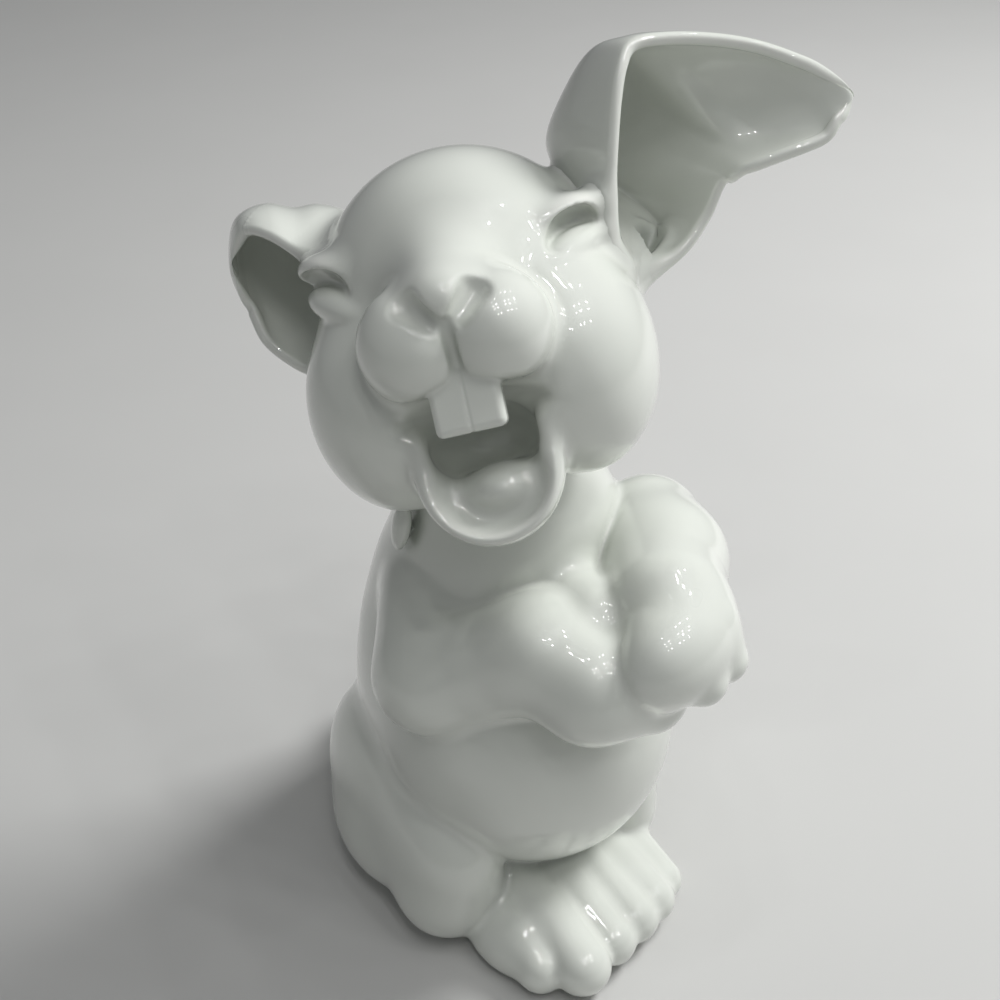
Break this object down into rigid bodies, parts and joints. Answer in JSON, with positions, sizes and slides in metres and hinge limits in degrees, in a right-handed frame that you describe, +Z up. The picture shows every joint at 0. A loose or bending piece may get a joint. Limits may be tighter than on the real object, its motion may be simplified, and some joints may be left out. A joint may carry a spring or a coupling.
{
  "type": "ceramic rabbit figurine",
  "caption": "Sitting rabbit ornament with raised head, open laughing mouth, cupped ears and forelegs folded over its chest, hollow inside.",
  "frame": {"origin": "on the flat base the figurine rests on, under the middle of the body", "axes": "+Z up, -Y the way the body and feet face, +X to the rabbit's own left"},
  "size_m": [0.1327, 0.1411, 0.2361],
  "materials": {
    "glaze": "glossy off-white glaze",
    "bare_clay": "unglazed, wiped matt clay"
  },
  "bodies": {
    "root": {"torso": "glaze", "base_disc": "bare_clay", "head": "glaze", "lower_jaw": "glaze", "tongue": "glaze", "upper_incisors": "glaze", "left_ear": "glaze", "left_ear_tip": "glaze", "right_ear": "glaze", "left_foreleg": "glaze", "right_foreleg": "glaze", "left_haunch": "glaze", "right_haunch": "glaze", "left_foot": "glaze", "right_foot": "glaze", "tail": "glaze"}
  },
  "joints": []
}
